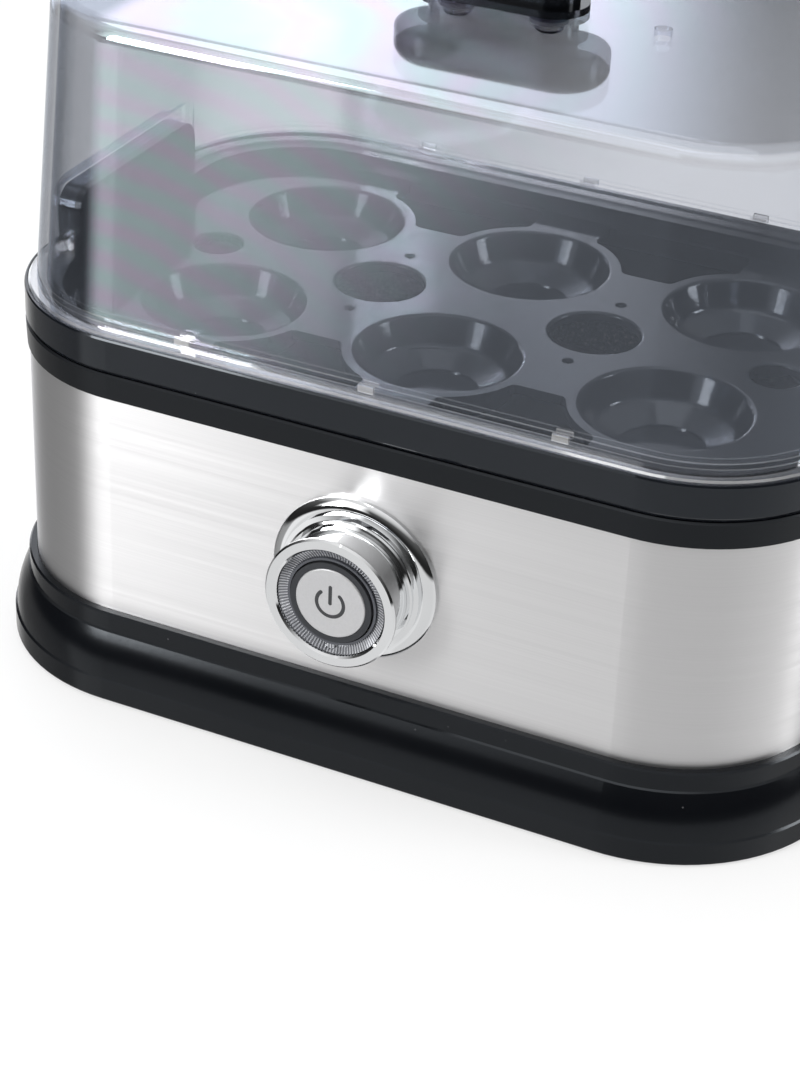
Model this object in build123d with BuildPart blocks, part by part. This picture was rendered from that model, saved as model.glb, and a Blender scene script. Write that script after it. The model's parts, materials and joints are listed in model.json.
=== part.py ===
# Electric egg cooker for six eggs: a brushed steel body on a black base, a lift-out egg tray,
# a clear lift-off lid and an illuminated push button on the front.
# Millimetres. +X runs along the long side, the button faces -Y, +Z is up, and the origin is on
# the table under the middle of the body.
import os

from build123d import *

os.makedirs("parts", exist_ok=True)

# Body outline: the outside of the steel band. Every ring is an offset of this outline.
BODY_LENGTH = 182.4
BODY_WIDTH = 121.2
BODY_CORNER_R = 34.0

# Heights, from the table upwards
FOOT_SHOW = 0.6
BASE_RIM_H = 5.1
SKIRT_H = 10.1
PLINTH_H = 4.5
STEEL_SHOW_H = 51.1
COLLAR_H = 5.6
SEAM_GAP = 0.3
TRAY_RIM_H = 7.7
LID_WALL_H = 63.0

# How far the rings stand out from the steel
BASE_OUT = 5.5
SKIRT_TOP_OUT = 2.3
PLINTH_OUT = 1.9
SKIRT_BULGE = 0.5
SHELF_RISE = 0.3
COLLAR_OUT = 0.7

# Walls and clearances
STEEL_T = 0.8
BASE_WALL = 2.5
COLLAR_WALL = 2.0
PLATE_T = 2.5
GROOVE_DEPTH = 2.0
SLIP = 0.15
TOUCH = 0.05
EDGE = 0.4
MOVE_CLEAR = 0.4
MATCH = 0.01

# Egg tray
PITCH_X = 50.0
PITCH_Y = 48.5
CUP_R = 17.4
CUP_WALL_DEPTH = 6.2
CUP_WALL_INSET = 2.6
CUP_SLOPE_H = 2.2
CUP_FLOOR_R = 8.7
CUP_FLOOR_STEP = 0.6
CUP_CORNER_R = 1.8
CUP_WALL = 1.6
CUP_LIP_R = 1.0
STEAM_HOLE_R = 9.7
END_HOLE_R = 5.4
END_HOLE_X = 64.9
PIN_HOLE_R = 1.3
PIN_HOLE_Y = 15.0
SIDE_HOLE_W = 34.0
SIDE_HOLE_START_Y = 30.0
SIDE_HOLE_CUP_MARGIN = 2.6
SIDE_HOLE_WALL_MARGIN = 1.0
SIDE_HOLE_CORNER_R = 2.0
HOLE_LIP_R = 0.7
TRAY_T = 2.0
TRAY_FLOOR_DROP = 4.7
LEDGE_DROP = 0.9
LEDGE_W = 7.5
TRAY_WALL_DRAFT = 0.5
TRAY_SKIRT_H = 1.8
TRAY_EDGE = 0.8
EAR_W = 50.4
EAR_H = 12.1
EAR_T = 5.5
EAR_INSET = 0.9
EAR_CORNER_R = 5.0
FINGER_W = 36.0
FINGER_H = 6.0
FINGER_DEPTH = 2.5
FINGER_CORNER_R = 2.9

# Lid
LID_T = 2.0
LID_FLANGE_T = 1.2
LID_FLANGE_INSET = 0.15
LID_FOOT_INSET = 1.9
LID_DRAFT_INSET = 4.6
LID_EDGE_R = 4.0
LID_SEAT_GAP = 0.3
ROOF_LAP = 2.0
NOTCH_CLEAR = 0.5
NOTCH_BEAD = 1.4
NOTCH_BEAD_DEPTH = 5.0
NOTCH_CUT = 12.0
CUT_OVER = 1.0
NUB_L = 3.4
NUB_H = 1.5
NUB_OUT = 0.3
NUB_RISE = 0.9
NUB_PITCH = 40.9
VENT_R = 1.8
VENT_X = 34.0
HANDLE_L = 46.0
HANDLE_W = 20.0
HANDLE_H = 15.0
HANDLE_NECK_L = 32.0
HANDLE_NECK_W = 11.0
HANDLE_NECK_H = 7.0
HANDLE_SCREW_PITCH = 20.0
HANDLE_FOOT_LIP = 2.0
HANDLE_FOOT_H = 1.5
HANDLE_TOP_R = 3.5
HANDLE_UNDER_R = 1.5
HANDLE_SCREW_BITE = 8.0
WASHER_R = 4.0
WASHER_T = 0.8
DOME_R = 1.0

# Heating dish, its seal and its nuts
DISH_L = 132.0
DISH_W = 80.0
DISH_R = 22.0
DISH_DEPTH = 8.5
DISH_T = 1.5
DISH_EDGE_R = 2.5
DISH_FLANGE_W = 8.0
DISH_FLANGE_T = 1.2
DISH_OPENING_CLEAR = 1.0
GASKET_T = 0.8
COLLAR_WELL_H = 14.4
COLLAR_DECK_T = 2.2
COLLAR_INNER_INSET = 5.0
STUD_R = 1.5
STUD_LEN = 7.0
STUD_PITCH_X = 96.0
NUT_AF = 5.5
NUT_H = 2.4
ELEMENT_R = 3.25
ELEMENT_Y = 16.5
ELEMENT_STRAIGHT_X = 38.0
ELEMENT_END_X = -52.0
PIN_R = 1.2
PIN_LEN = 9.0
THERMOSTAT_R = 8.0
THERMOSTAT_H = 7.0
THERMOSTAT_EAR_PITCH = 24.0
THERMOSTAT_EAR_T = 1.0
BOSS_R = 3.2
BOSS_H = 3.0
FUSE_R = 2.0
FUSE_L = 13.0
FUSE_Y = 11.0
FUSE_LEAD_R = 0.6
FUSE_LEAD_L = 7.0

# Bottom plate, towers, screws and feet
TOWER_INSET_X = 18.2
TOWER_INSET_Y = 17.6
TOWER_R = 4.5
PLATE_BOSS_R = 5.0
SCREW_R = 1.5
SCREW_HEAD_R = 3.0
SCREW_HEAD_H = 2.0
SCREW_BITE = 11.0
SCREW_HOLE_EXTRA = 5.0
DRIVE_SLOT_W = 0.6
DRIVE_SLOT_DEPTH = 1.0
SMALL_HEAD_R = 2.5
SMALL_HEAD_H = 1.5
TOWER_BOTTOM = 22.6
FOOT_INSET_X = 35.2
FOOT_INSET_Y = 22.6
FOOT_R = 7.0
FOOT_RECESS = 1.0
FOOT_PLUG_R = 2.0
FOOT_PLUG_OUT = 1.0
FOOT_EDGE_R = 0.6
PLATE_RISE = 0.7
VENT_SLOT_L = 26.0
VENT_SLOT_W = 2.4
VENT_SLOT_PITCH = 6.0
VENT_SLOT_ROWS = 5

# Front button, measured outwards from the steel's face
BUTTON_Z = 45.5
BEZEL_R = 18.2
BEZEL_EDGE = 0.9
BEZEL_H = 4.1
BEZEL_DOME_H = 2.1
BEZEL_DOME_R = 15.4
BEZEL_STEP_R = 14.4
BEZEL_STEP_H = 3.0
BARREL_R = 13.3
BARREL_NECK_H = 0.9
TAIL_R = 12.0
TAIL_LEN = 12.0
FACE_RING_R = 14.46
FACE_RING_BORE_R = 11.9
FACE_RING_T = 1.3
FACE_OUT = 12.1
LIGHT_RING_OUTER_R = 11.75
LIGHT_RING_BORE_R = 9.3
LIGHT_RING_BACK = 5.6
LIGHT_RING_DROP = 0.6
LIGHT_RING_SLOPE = 1.2
LIGHT_LIP_T = 0.5
LIGHT_LIP_H = 0.6
INNER_BORE_R = 10.4
WEB_BACK = -1.0
WEB_FRONT = 1.6
STEM_R = 4.0
STEM_FIT = 0.05
STEM_IN_SOCKET = 2.5
STEM_HEAD_R = 9.0
STEM_HEAD_T = 1.2
CAP_R = 7.7
CAP_EDGE_R = 0.3
CAP_FRONT = 11.6
CAP_RING_FRONT = 11.4
BOARD_BACK = 3.0
BOARD_T = 1.2
BOARD_BORE_R = 6.4
LED_SIZE = 1.5
LED_H = 0.9
LED_COUNT = 6
BUTTON_TRAVEL = 2.5
SPRING_WIRE_R = 0.35
SPRING_R = 5.1
SPRING_TURNS = 4.5
HOUSING_NUT_R = 14.2
HOUSING_NUT_H = 4.0
SWITCH_W = 16.0
SWITCH_L = 20.0
SWITCH_FRONT = -12.5
SOCKET_SPARE = 1.5
SOCKET_CLEAR = 0.4
TAB_W = 4.0
TAB_T = 0.8
TAB_L = 6.0
BRACKET_T = 1.5
BRACKET_W = 24.0
BRACKET_FOOT_L = 16.0
BRACKET_WINDOW = 12.0
BRACKET_SCREW_PITCH = 14.0

# Mains side: the gland at the back and the terminal block
GLAND_X = -45.0
GLAND_Z = 32.0
GLAND_BORE_R = 3.3
GLAND_R = 5.5
GLAND_FLANGE_R = 7.5
GLAND_FLANGE_T = 3.0
GLAND_NOSE_R = 5.0
GLAND_NOSE_L = 7.5
GLAND_TAIL_L = 8.0
GLAND_NUT_AF = 15.0
GLAND_NUT_H = 3.5
BLOCK_X = -30.0
BLOCK_Y = 30.0
BLOCK_L = 30.0
BLOCK_W = 16.0
BLOCK_H = 13.0
BLOCK_EDGE_R = 1.5
BLOCK_SCREW_R = 2.0
BLOCK_SCREW_H = 2.5
BLOCK_POLE_PITCH = 10.0
BLOCK_SIDE_PITCH = 8.0
WIRE_R = 1.1
WIRE_GAP = 0.3
WIRE_RISE = 10.0
SENSOR_WIRE_X = 1.0

# Levels and places worked out from the sizes above
base_top = FOOT_SHOW + BASE_RIM_H + SKIRT_H + PLINTH_H
collar_bottom = base_top + STEEL_SHOW_H
collar_top = collar_bottom + COLLAR_H
tray_bottom = collar_top + SEAM_GAP
tray_top = tray_bottom + TRAY_RIM_H
ledge_z = tray_top - LEDGE_DROP
tray_floor = tray_top - TRAY_FLOOR_DROP
lid_bottom = ledge_z + LID_SEAT_GAP
lid_flange_top = lid_bottom + LID_FLANGE_T
lid_top = lid_flange_top + LID_WALL_H
plate_bottom = FOOT_SHOW + PLATE_RISE
plate_top = plate_bottom + PLATE_T
deck_top = collar_top - COLLAR_WELL_H
deck_bottom = deck_top - COLLAR_DECK_T
gasket_top = deck_top + GASKET_T
dish_top = gasket_top + DISH_FLANGE_T
dish_floor = dish_top - DISH_DEPTH
dish_bottom = dish_floor - DISH_T
tower_x = BODY_LENGTH / 2 - TOWER_INSET_X
tower_y = BODY_WIDTH / 2 - TOWER_INSET_Y
foot_x = BODY_LENGTH / 2 - FOOT_INSET_X
foot_y = BODY_WIDTH / 2 - FOOT_INSET_Y
front_y = -BODY_WIDTH / 2
back_y = BODY_WIDTH / 2
stem_head_back = BOARD_BACK + BOARD_T + LED_H + BUTTON_TRAVEL + MOVE_CLEAR
stem_back = SWITCH_FRONT - STEM_IN_SOCKET

# The path that each ring's section follows, and the plane its section is drawn on: local x is
# the distance out from the steel's face, local y is the height above the table.
with BuildSketch(Plane.XY) as body_outline:
    RectangleRounded(BODY_LENGTH, BODY_WIDTH, BODY_CORNER_R)
ring_path = body_outline.sketch.faces()[0].outer_wire()
ring_plane = Plane(origin=(0, front_y, 0), x_dir=(0, -1, 0), z_dir=(-1, 0, 0))

# Round pieces on the button's axis: local x is the radius, local y the distance out of the face.
button_plane = Plane(origin=(0, front_y, BUTTON_Z), x_dir=(0, 0, 1), z_dir=(1, 0, 0))
button_axis = Axis((0, front_y, BUTTON_Z), (0, -1, 0))
button_face = Plane(origin=(0, front_y, BUTTON_Z), x_dir=(1, 0, 0), z_dir=(0, -1, 0))

# Round pieces on the gland's axis, at the back
gland_plane = Plane(origin=(GLAND_X, back_y, GLAND_Z), x_dir=(0, 0, 1), z_dir=(-1, 0, 0))
gland_axis = Axis((GLAND_X, back_y, GLAND_Z), (0, 1, 0))
gland_face = Plane(origin=(GLAND_X, back_y, GLAND_Z), x_dir=(-1, 0, 0), z_dir=(0, 1, 0))


def save(piece, node):
    """Name a finished piece and write its STEP file."""
    piece.part.label = node
    export_step(piece.part, f"parts/{node}.step")


def rounded(offset):
    """Length, width and corner radius of the body outline moved outwards by offset."""
    return BODY_LENGTH + 2 * offset, BODY_WIDTH + 2 * offset, BODY_CORNER_R + offset


def corners(x, y):
    """The four places that mirror (x, y) about the middle of the body."""
    return [(sx * x, sy * y) for sx in (-1, 1) for sy in (-1, 1)]


# Base casing: black moulded skirt that flares down to the table, with a shelf and a groove
# for the lower edge of the steel.
skirt_bottom_z = FOOT_SHOW + BASE_RIM_H
skirt_top_z = skirt_bottom_z + SKIRT_H
skirt_bottom_out = BASE_OUT - EDGE
groove_in = -STEEL_T - SLIP
rib_in = groove_in - BASE_WALL / 2
with BuildPart() as base_casing:
    with BuildSketch(ring_plane):
        with BuildLine():
            Polyline(
                (BASE_OUT - BASE_WALL, FOOT_SHOW),
                (BASE_OUT, FOOT_SHOW),
                (BASE_OUT, skirt_bottom_z - EDGE),
                (skirt_bottom_out, skirt_bottom_z),
            )
            ThreePointArc(
                (skirt_bottom_out, skirt_bottom_z),
                (
                    (skirt_bottom_out + SKIRT_TOP_OUT) / 2 + SKIRT_BULGE,
                    (skirt_bottom_z + skirt_top_z) / 2 + SKIRT_BULGE,
                ),
                (SKIRT_TOP_OUT, skirt_top_z),
            )
            Polyline(
                (SKIRT_TOP_OUT, skirt_top_z),
                (PLINTH_OUT, skirt_top_z + SHELF_RISE),
                (PLINTH_OUT, base_top - EDGE),
                (PLINTH_OUT - EDGE, base_top),
                (SLIP, base_top),
                (SLIP, base_top - GROOVE_DEPTH),
                (groove_in, base_top - GROOVE_DEPTH),
                (groove_in, base_top + GROOVE_DEPTH),
                (rib_in, base_top + GROOVE_DEPTH),
                (rib_in, base_top - GROOVE_DEPTH - BASE_WALL),
                (skirt_bottom_out - 2 * BASE_WALL, plate_top + BASE_WALL),
                (skirt_bottom_out - 1.5 * BASE_WALL, plate_top),
                (BASE_OUT - BASE_WALL, plate_top),
                (BASE_OUT - BASE_WALL, FOOT_SHOW),
            )
        make_face()
    sweep(path=ring_path)
save(base_casing, "base_casing")

# Bottom plate: closes the base from below, carries the screw bosses, the feet and the inside
# parts, and has cooling slots.
bracket_back_y = front_y - SWITCH_FRONT + SWITCH_L + TOUCH
bracket_screw_y = bracket_back_y + BRACKET_T + BRACKET_FOOT_L / 2
with BuildPart() as bottom_plate:
    with BuildSketch(Plane.XY.offset(plate_bottom)):
        RectangleRounded(*rounded(BASE_OUT - BASE_WALL - SLIP))
    extrude(amount=PLATE_T)
    with BuildSketch(Plane.XY.offset(plate_top)):
        with Locations(corners(tower_x, tower_y)):
            Circle(PLATE_BOSS_R)
    extrude(amount=TOWER_BOTTOM - SEAM_GAP - plate_top)
    with BuildSketch(Plane.XY.offset(plate_bottom)):
        with Locations(corners(tower_x, tower_y)):
            Circle(SCREW_R + SLIP)
    extrude(amount=TOWER_BOTTOM - plate_bottom, mode=Mode.SUBTRACT)
    with BuildSketch(Plane.XY.offset(plate_bottom)):
        with Locations(corners(tower_x, tower_y)):
            Circle(SCREW_HEAD_R + SLIP)
    extrude(amount=SCREW_HEAD_H + SLIP, mode=Mode.SUBTRACT)
    with BuildSketch(Plane.XY.offset(plate_bottom)):
        with Locations(corners(foot_x, foot_y)):
            Circle(FOOT_R + SLIP)
    extrude(amount=FOOT_RECESS, mode=Mode.SUBTRACT)
    with BuildSketch(Plane.XY.offset(plate_bottom)):
        with Locations(corners(foot_x, foot_y)):
            Circle(FOOT_PLUG_R + SLIP)
        with GridLocations(0, VENT_SLOT_PITCH, 1, VENT_SLOT_ROWS):
            SlotOverall(VENT_SLOT_L, VENT_SLOT_W)
        with Locations((0, bracket_screw_y)):
            with GridLocations(BRACKET_SCREW_PITCH, 0, 2, 1):
                Circle(SCREW_R + SLIP)
    extrude(amount=PLATE_T, mode=Mode.SUBTRACT)
save(bottom_plate, "bottom_plate")

# Four long screws from below, through the plate into the collar's towers
with BuildPart() as bottom_screws:
    with BuildSketch(Plane.XY.offset(plate_bottom)):
        with Locations(corners(tower_x, tower_y)):
            Circle(SCREW_HEAD_R)
    extrude(amount=SCREW_HEAD_H)
    with BuildSketch(Plane.XY.offset(plate_bottom)):
        with Locations(corners(tower_x, tower_y)):
            Circle(SCREW_R)
    extrude(amount=TOWER_BOTTOM + SCREW_BITE - plate_bottom)
    with BuildSketch(Plane.XY.offset(plate_bottom)):
        with Locations(corners(tower_x, tower_y)):
            Rectangle(2 * SCREW_R, DRIVE_SLOT_W)
            Rectangle(DRIVE_SLOT_W, 2 * SCREW_R)
    extrude(amount=DRIVE_SLOT_DEPTH, mode=Mode.SUBTRACT)
save(bottom_screws, "bottom_screws")

# Rubber feet, pushed into the plate by a plug
with BuildPart() as rubber_feet:
    with BuildSketch(Plane.XY):
        with Locations(corners(foot_x, foot_y)):
            Circle(FOOT_R)
    extrude(amount=plate_bottom + FOOT_RECESS - TOUCH)
    fillet(rubber_feet.faces().sort_by(Axis.Z)[:4].edges(), FOOT_EDGE_R)
    with BuildSketch(Plane.XY.offset(FOOT_SHOW)):
        with Locations(corners(foot_x, foot_y)):
            Circle(FOOT_PLUG_R)
    extrude(amount=plate_top + FOOT_PLUG_OUT - FOOT_SHOW)
save(rubber_feet, "rubber_feet")

# Steel band: brushed stainless sleeve, welded to a ring, pierced for the button and the gland
with BuildPart() as steel_band:
    with BuildSketch(Plane.XY.offset(base_top - GROOVE_DEPTH + SLIP)):
        RectangleRounded(*rounded(0))
        RectangleRounded(*rounded(-STEEL_T), mode=Mode.SUBTRACT)
    extrude(amount=STEEL_SHOW_H + 2 * GROOVE_DEPTH - 2 * SLIP)
    with BuildSketch(button_face.offset(-2 * STEEL_T)):
        Circle(TAIL_R + SLIP)
    extrude(amount=3 * STEEL_T, mode=Mode.SUBTRACT)
    with BuildSketch(gland_face.offset(-2 * STEEL_T)):
        Circle(GLAND_R + SLIP)
    extrude(amount=3 * STEEL_T, mode=Mode.SUBTRACT)
save(steel_band, "steel_band")

# Top collar: black ring over the steel, with a well that holds the heating dish and four
# towers that the long screws bite into.
well_out = -COLLAR_INNER_INSET + COLLAR_WALL
opening = (DISH_L + 2 * DISH_OPENING_CLEAR, DISH_W + 2 * DISH_OPENING_CLEAR, DISH_R + DISH_OPENING_CLEAR)
with BuildPart() as top_collar:
    with BuildSketch(ring_plane):
        with BuildLine():
            Polyline(
                (SLIP, collar_bottom),
                (COLLAR_OUT - EDGE / 2, collar_bottom),
                (COLLAR_OUT, collar_top - EDGE),
                (COLLAR_OUT - EDGE, collar_top),
                (-COLLAR_INNER_INSET, collar_top),
                (-COLLAR_INNER_INSET, deck_bottom),
                (well_out, deck_bottom),
                (well_out, collar_bottom),
                (groove_in, collar_bottom),
                (groove_in, collar_bottom + GROOVE_DEPTH),
                (SLIP, collar_bottom + GROOVE_DEPTH),
                (SLIP, collar_bottom),
            )
        make_face()
    sweep(path=ring_path)
    with BuildSketch(Plane.XY.offset(deck_bottom)):
        RectangleRounded(*rounded(well_out - COLLAR_WALL / 2))
        RectangleRounded(*opening, mode=Mode.SUBTRACT)
    extrude(amount=COLLAR_DECK_T)
    with BuildSketch(Plane.XY.offset(TOWER_BOTTOM)):
        with Locations(corners(tower_x, tower_y)):
            Circle(TOWER_R)
    extrude(amount=deck_bottom - TOWER_BOTTOM)
    with BuildSketch(Plane.XY.offset(TOWER_BOTTOM)):
        with Locations(corners(tower_x, tower_y)):
            Circle(SCREW_R + TOUCH)
    extrude(amount=SCREW_BITE + SCREW_HOLE_EXTRA, mode=Mode.SUBTRACT)
    with BuildSketch(Plane.XY.offset(deck_bottom)):
        with GridLocations(STUD_PITCH_X, DISH_W + DISH_FLANGE_W, 2, 2):
            Circle(STUD_R + SLIP)
    extrude(amount=COLLAR_DECK_T, mode=Mode.SUBTRACT)
save(top_collar, "top_collar")

# Silicone seal between the dish flange and the collar's deck
with BuildPart() as dish_gasket:
    with BuildSketch(Plane.XY.offset(deck_top)):
        flange_size = (DISH_L + 2 * DISH_FLANGE_W, DISH_W + 2 * DISH_FLANGE_W, DISH_R + DISH_FLANGE_W)
        RectangleRounded(*flange_size)
        RectangleRounded(*opening, mode=Mode.SUBTRACT)
        with GridLocations(STUD_PITCH_X, DISH_W + DISH_FLANGE_W, 2, 2):
            Circle(STUD_R + SLIP, mode=Mode.SUBTRACT)
    extrude(amount=GASKET_T)
save(dish_gasket, "dish_gasket")

# Heating dish: pressed metal dish that holds the water, with four studs under its flange and
# two bosses under its floor
with BuildPart() as heating_dish:
    with BuildSketch(Plane.XY.offset(gasket_top)):
        RectangleRounded(*flange_size)
    extrude(amount=DISH_FLANGE_T)
    with BuildSketch(Plane.XY.offset(dish_bottom)):
        RectangleRounded(DISH_L, DISH_W, DISH_R)
    extrude(amount=dish_top - dish_bottom)
    fillet(heating_dish.faces().sort_by(Axis.Z)[0].edges(), DISH_EDGE_R)
    with BuildSketch(Plane.XY.offset(dish_floor)):
        RectangleRounded(DISH_L - 2 * DISH_T, DISH_W - 2 * DISH_T, DISH_R - DISH_T)
    extrude(amount=DISH_DEPTH, mode=Mode.SUBTRACT)
    with BuildSketch(Plane.XY.offset(gasket_top - STUD_LEN)):
        with GridLocations(STUD_PITCH_X, DISH_W + DISH_FLANGE_W, 2, 2):
            Circle(STUD_R)
    extrude(amount=STUD_LEN)
    with BuildSketch(Plane.XY.offset(dish_bottom - BOSS_H)):
        with GridLocations(THERMOSTAT_EAR_PITCH, 0, 2, 1):
            Circle(BOSS_R)
            Circle(SCREW_R + TOUCH, mode=Mode.SUBTRACT)
    extrude(amount=BOSS_H)
save(heating_dish, "heating_dish")

# Nuts that pull the dish down onto its seal
with BuildPart() as dish_nuts:
    with BuildSketch(Plane.XY.offset(deck_bottom - NUT_H)):
        with GridLocations(STUD_PITCH_X, DISH_W + DISH_FLANGE_W, 2, 2):
            RegularPolygon(NUT_AF / 2, 6, major_radius=False)
            Circle(STUD_R + TOUCH, mode=Mode.SUBTRACT)
    extrude(amount=NUT_H)
save(dish_nuts, "dish_nuts")

# Heating element: U-shaped tube brazed under the dish, with a pin at each cold end
element_z = dish_bottom - TOUCH - ELEMENT_R
with BuildPart() as heating_element:
    with BuildLine(Plane.XY.offset(element_z)) as element_path:
        Line((ELEMENT_END_X, -ELEMENT_Y), (ELEMENT_STRAIGHT_X, -ELEMENT_Y))
        ThreePointArc(
            (ELEMENT_STRAIGHT_X, -ELEMENT_Y),
            (ELEMENT_STRAIGHT_X + ELEMENT_Y, 0),
            (ELEMENT_STRAIGHT_X, ELEMENT_Y),
        )
        Line((ELEMENT_STRAIGHT_X, ELEMENT_Y), (ELEMENT_END_X, ELEMENT_Y))
    with BuildSketch(Plane(origin=(ELEMENT_END_X, -ELEMENT_Y, element_z), z_dir=(1, 0, 0))):
        Circle(ELEMENT_R)
    sweep(path=element_path.wires()[0])
    with BuildSketch(Plane(origin=(ELEMENT_END_X, 0, element_z), x_dir=(0, 1, 0), z_dir=(-1, 0, 0))):
        with Locations((ELEMENT_Y, 0), (-ELEMENT_Y, 0)):
            Circle(PIN_R)
    extrude(amount=PIN_LEN)
save(heating_element, "heating_element")

# Thermostat: bimetal disc switch screwed to two bosses under the dish
ear_z = dish_bottom - BOSS_H
with BuildPart() as thermostat:
    with BuildSketch(Plane.XY.offset(ear_z - THERMOSTAT_EAR_T)):
        SlotCenterToCenter(THERMOSTAT_EAR_PITCH, 2 * BOSS_R)
        with GridLocations(THERMOSTAT_EAR_PITCH, 0, 2, 1):
            Circle(SCREW_R + SLIP, mode=Mode.SUBTRACT)
    extrude(amount=THERMOSTAT_EAR_T)
    with BuildSketch(Plane.XY.offset(dish_bottom - TOUCH)):
        Circle(THERMOSTAT_R)
    extrude(amount=-THERMOSTAT_H)
    with BuildSketch(Plane.XY.offset(dish_bottom - TOUCH - THERMOSTAT_H)):
        with GridLocations(0, THERMOSTAT_R, 1, 2):
            Rectangle(TAB_W, TAB_T)
    extrude(amount=-TAB_L)
save(thermostat, "thermostat")

with BuildPart() as thermostat_screws:
    with BuildSketch(Plane.XY.offset(ear_z - THERMOSTAT_EAR_T)):
        with GridLocations(THERMOSTAT_EAR_PITCH, 0, 2, 1):
            Circle(SMALL_HEAD_R)
    extrude(amount=-SMALL_HEAD_H)
    with BuildSketch(Plane.XY.offset(ear_z - THERMOSTAT_EAR_T)):
        with GridLocations(THERMOSTAT_EAR_PITCH, 0, 2, 1):
            Circle(SCREW_R)
    extrude(amount=THERMOSTAT_EAR_T + BOSS_H - SLIP)
save(thermostat_screws, "thermostat_screws")

# Thermal fuse: one-shot safety fuse in a sleeve against the dish, with a lead at each end
with BuildPart() as thermal_fuse:
    with BuildSketch(Plane(origin=(0, FUSE_Y, dish_bottom - TOUCH - FUSE_R), z_dir=(1, 0, 0))):
        Circle(FUSE_R)
    extrude(amount=FUSE_L / 2, both=True)
    with BuildSketch(Plane(origin=(0, FUSE_Y, dish_bottom - TOUCH - FUSE_R), z_dir=(1, 0, 0))):
        Circle(FUSE_LEAD_R)
    extrude(amount=FUSE_L / 2 + FUSE_LEAD_L, both=True)
save(thermal_fuse, "thermal_fuse")

# Egg tray. One cup's outside and its hollow are made first, as revolved tools: a drafted wall,
# a rounded corner, a bottom that slopes to the middle and a small sunk floor.
cup_wall_z = tray_floor - CUP_WALL_DEPTH
cup_slope_z = cup_wall_z - CUP_SLOPE_H
cup_floor_z = cup_slope_z - CUP_FLOOR_STEP
with BuildPart() as cup_outside:
    with BuildSketch(Plane.XZ):
        with BuildLine():
            Polyline(
                (0, tray_floor - TRAY_T / 2),
                (CUP_R + CUP_WALL, tray_floor - TRAY_T / 2),
                (CUP_R - CUP_WALL_INSET + CUP_WALL, cup_wall_z - CUP_WALL / 2),
                (CUP_FLOOR_R + CUP_WALL, cup_slope_z - CUP_WALL),
                (CUP_FLOOR_R, cup_floor_z - CUP_WALL),
                (0, cup_floor_z - CUP_WALL),
                (0, tray_floor - TRAY_T / 2),
            )
        make_face()
    revolve(axis=Axis.Z)
with BuildPart() as cup_hollow:
    with BuildSketch(Plane.XZ) as cup_profile:
        with BuildLine():
            Polyline(
                (0, tray_floor),
                (CUP_R, tray_floor),
                (CUP_R - CUP_WALL_INSET, cup_wall_z),
                (CUP_FLOOR_R, cup_slope_z),
                (CUP_FLOOR_R - CUP_FLOOR_STEP / 2, cup_floor_z),
                (0, cup_floor_z),
                (0, tray_floor),
            )
        make_face()
        wall_corners = cup_profile.vertices().filter_by(
            lambda v: abs(v.X - CUP_R + CUP_WALL_INSET) < MATCH)
        fillet(wall_corners, CUP_CORNER_R)
        fillet(
            cup_profile.vertices().filter_by(lambda v: abs(v.X - CUP_FLOOR_R) < MATCH),
            CUP_FLOOR_STEP / 2,
        )
    revolve(axis=Axis.Z)

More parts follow.
